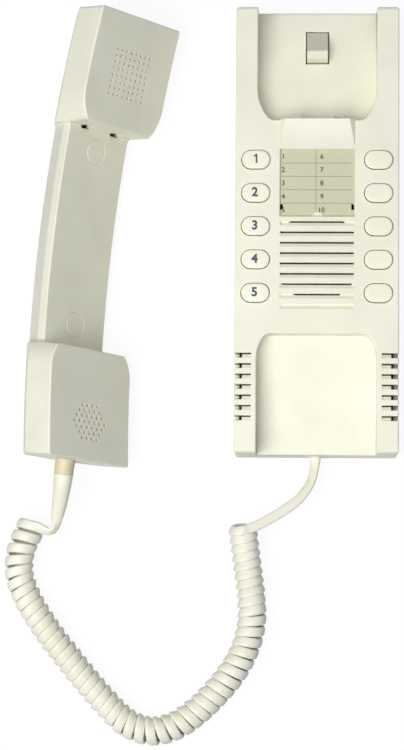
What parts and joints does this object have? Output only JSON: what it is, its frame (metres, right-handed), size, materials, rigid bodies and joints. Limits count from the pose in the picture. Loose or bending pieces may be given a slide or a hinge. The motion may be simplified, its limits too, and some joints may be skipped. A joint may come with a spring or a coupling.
{
  "type": "intercom station with handset",
  "caption": "Wall intercom station with a cradle, call buttons, directory window and loudspeaker grille, and a curved handset on a curly cord laid beside it.",
  "frame": {"origin": "middle of the base's wall face", "axes": "+Y up the base's length, +Z out of its front"},
  "size_m": [0.194, 0.362, 0.0578],
  "materials": {
    "ivory_abs": "fine-textured moulded ivory ABS",
    "ivory_plate": "plain moulded ivory ABS",
    "ivory_pvc": "satin ivory PVC cord jacket",
    "button_abs": "smooth moulded off-white ABS",
    "white_nylon": "moulded nylon",
    "card": "ruled buff card",
    "clear_window": "clear acrylic",
    "circuit_board": "green solder mask",
    "silicone": "matt silicone rubber",
    "foam": "closed-cell foam",
    "cone_paper": "pressed paper cone",
    "ferrite": "sintered ferrite",
    "plated_steel": "zinc-plated steel",
    "bright_aluminium": "drawn aluminium can",
    "black_plastic": "moulded black plastic"
  },
  "bodies": {
    "base": {"front_cover": "ivory_abs", "back_plate": "ivory_plate", "cover_screws": "plated_steel", "main_board": "circuit_board", "board_screws": "plated_steel", "terminal_block": "black_plastic", "terminal_screws": "plated_steel", "transformer": "ferrite", "capacitors": "black_plastic", "audio_chips": "black_plastic", "key_board_left": "circuit_board", "key_board_right": "circuit_board", "key_board_screws": "plated_steel", "keypad_mat_left": "silicone", "keypad_mat_right": "silicone", "speaker_gasket": "foam", "speaker_frame": "plated_steel", "speaker_cone": "cone_paper", "speaker_magnet": "ferrite", "speaker_screws": "plated_steel", "directory_card": "card", "hook_bracket": "black_plastic", "hook_pin": "plated_steel", "hook_spring": "plated_steel", "hook_switch": "black_plastic", "cord_gland": "ivory_pvc", "cord_socket": "white_nylon", "cord_lead_in": "ivory_pvc", "cord_tail_base": "ivory_pvc", "cord_coil": "ivory_pvc", "cord_tail_handset": "ivory_pvc"},
    "button_1": {"button_1": "button_abs"},
    "button_2": {"button_2": "button_abs"},
    "button_3": {"button_3": "button_abs"},
    "button_4": {"button_4": "button_abs"},
    "button_5": {"button_5": "button_abs"},
    "button_6": {"button_6": "button_abs"},
    "button_7": {"button_7": "button_abs"},
    "button_8": {"button_8": "button_abs"},
    "button_9": {"button_9": "button_abs"},
    "button_10": {"button_10": "button_abs"},
    "hook": {"hook_lever": "ivory_abs"},
    "window": {"directory_window": "clear_window"},
    "handset": {"handset_front_shell": "ivory_abs", "handset_back_shell": "ivory_abs", "receiver_capsule": "black_plastic", "receiver_gasket": "foam", "receiver_clamp": "ivory_plate", "microphone_capsule": "bright_aluminium", "microphone_holder": "silicone", "handset_weight": "plated_steel", "handset_screws": "plated_steel", "screw_plugs": "ivory_abs", "handset_boot": "ivory_pvc", "handset_loom": "black_plastic"}
  },
  "joints": [
    {"name": "button_1_press", "type": "slide", "parent": "base", "child": "button_1", "axis": [0, 0, -1], "range_m": [0, 0.0015], "stiffness_N_per_m": 400, "deforming": ["keypad_mat_left"]},
    {"name": "button_2_press", "type": "slide", "parent": "base", "child": "button_2", "axis": [0, 0, -1], "range_m": [0, 0.0015], "stiffness_N_per_m": 400, "deforming": ["keypad_mat_left"]},
    {"name": "button_3_press", "type": "slide", "parent": "base", "child": "button_3", "axis": [0, 0, -1], "range_m": [0, 0.0015], "stiffness_N_per_m": 400, "deforming": ["keypad_mat_left"]},
    {"name": "button_4_press", "type": "slide", "parent": "base", "child": "button_4", "axis": [0, 0, -1], "range_m": [0, 0.0015], "stiffness_N_per_m": 400, "deforming": ["keypad_mat_left"]},
    {"name": "button_5_press", "type": "slide", "parent": "base", "child": "button_5", "axis": [0, 0, -1], "range_m": [0, 0.0015], "stiffness_N_per_m": 400, "deforming": ["keypad_mat_left"]},
    {"name": "button_6_press", "type": "slide", "parent": "base", "child": "button_6", "axis": [0, 0, -1], "range_m": [0, 0.0015], "stiffness_N_per_m": 400, "deforming": ["keypad_mat_right"]},
    {"name": "button_7_press", "type": "slide", "parent": "base", "child": "button_7", "axis": [0, 0, -1], "range_m": [0, 0.0015], "stiffness_N_per_m": 400, "deforming": ["keypad_mat_right"]},
    {"name": "button_8_press", "type": "slide", "parent": "base", "child": "button_8", "axis": [0, 0, -1], "range_m": [0, 0.0015], "stiffness_N_per_m": 400, "deforming": ["keypad_mat_right"]},
    {"name": "button_9_press", "type": "slide", "parent": "base", "child": "button_9", "axis": [0, 0, -1], "range_m": [0, 0.0015], "stiffness_N_per_m": 400, "deforming": ["keypad_mat_right"]},
    {"name": "button_10_press", "type": "slide", "parent": "base", "child": "button_10", "axis": [0, 0, -1], "range_m": [0, 0.0015], "stiffness_N_per_m": 400, "deforming": ["keypad_mat_right"]},
    {"name": "hook_swing", "type": "hinge", "parent": "base", "child": "hook", "pos_m": [0, 0.062, 0.016], "axis": [1, 0, 0], "range_deg": [-12, 0], "stiffness_Nm_per_rad": 0.02, "springref_deg": 20.05, "deforming": ["hook_spring"]},
    {"name": "window_lift", "type": "slide", "parent": "base", "child": "window", "axis": [0, 0, 1], "range_m": [0, 0.02]},
    {"name": "handset_lift", "type": "slide", "parent": "base", "child": "handset", "axis": [0, 0, 1], "range_m": [0, 0.25], "deforming": ["cord_tail_base", "cord_coil", "cord_tail_handset"]}
  ]
}
